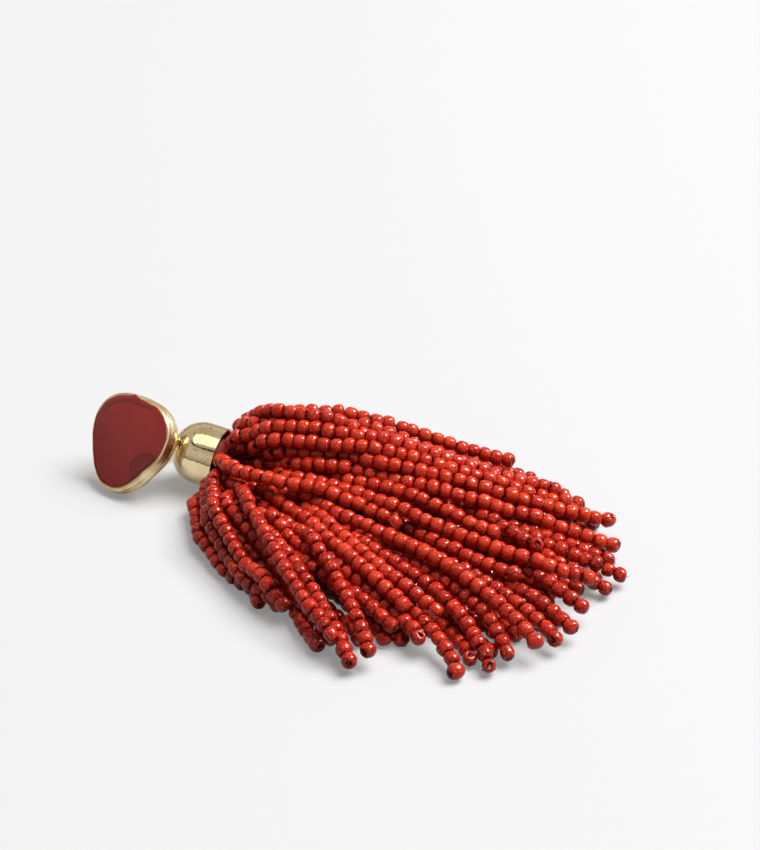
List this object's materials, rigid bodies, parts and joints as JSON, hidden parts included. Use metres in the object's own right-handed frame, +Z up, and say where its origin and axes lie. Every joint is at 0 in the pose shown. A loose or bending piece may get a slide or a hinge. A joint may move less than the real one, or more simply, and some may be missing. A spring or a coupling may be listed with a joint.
{
  "type": "beaded tassel drop earring",
  "caption": "Drop earring lying on a table: enamelled rounded-triangle stud with ear post, domed metal cap and a long tassel of red seed beads.",
  "frame": {"origin": "middle of the earring's box in plan, on the surface it lies on", "axes": "+X runs from the stud along the cap to the tips of the tassel, +Z is up from the surface, and +Y is the side that the ear post points to"},
  "size_m": [0.0856, 0.0614, 0.017],
  "materials": {
    "gold_plate": "polished gold plate",
    "enamel": "glossy dark red enamel",
    "cap_metal": "worn pale gold plate",
    "beads": "opaque glossy coral red"
  },
  "bodies": {
    "root": {"stud_bezel": "gold_plate", "enamel": "enamel", "jump_ring": "gold_plate", "eye_pin": "gold_plate", "tassel_cap": "cap_metal", "bead_tassel": "beads"}
  },
  "joints": []
}
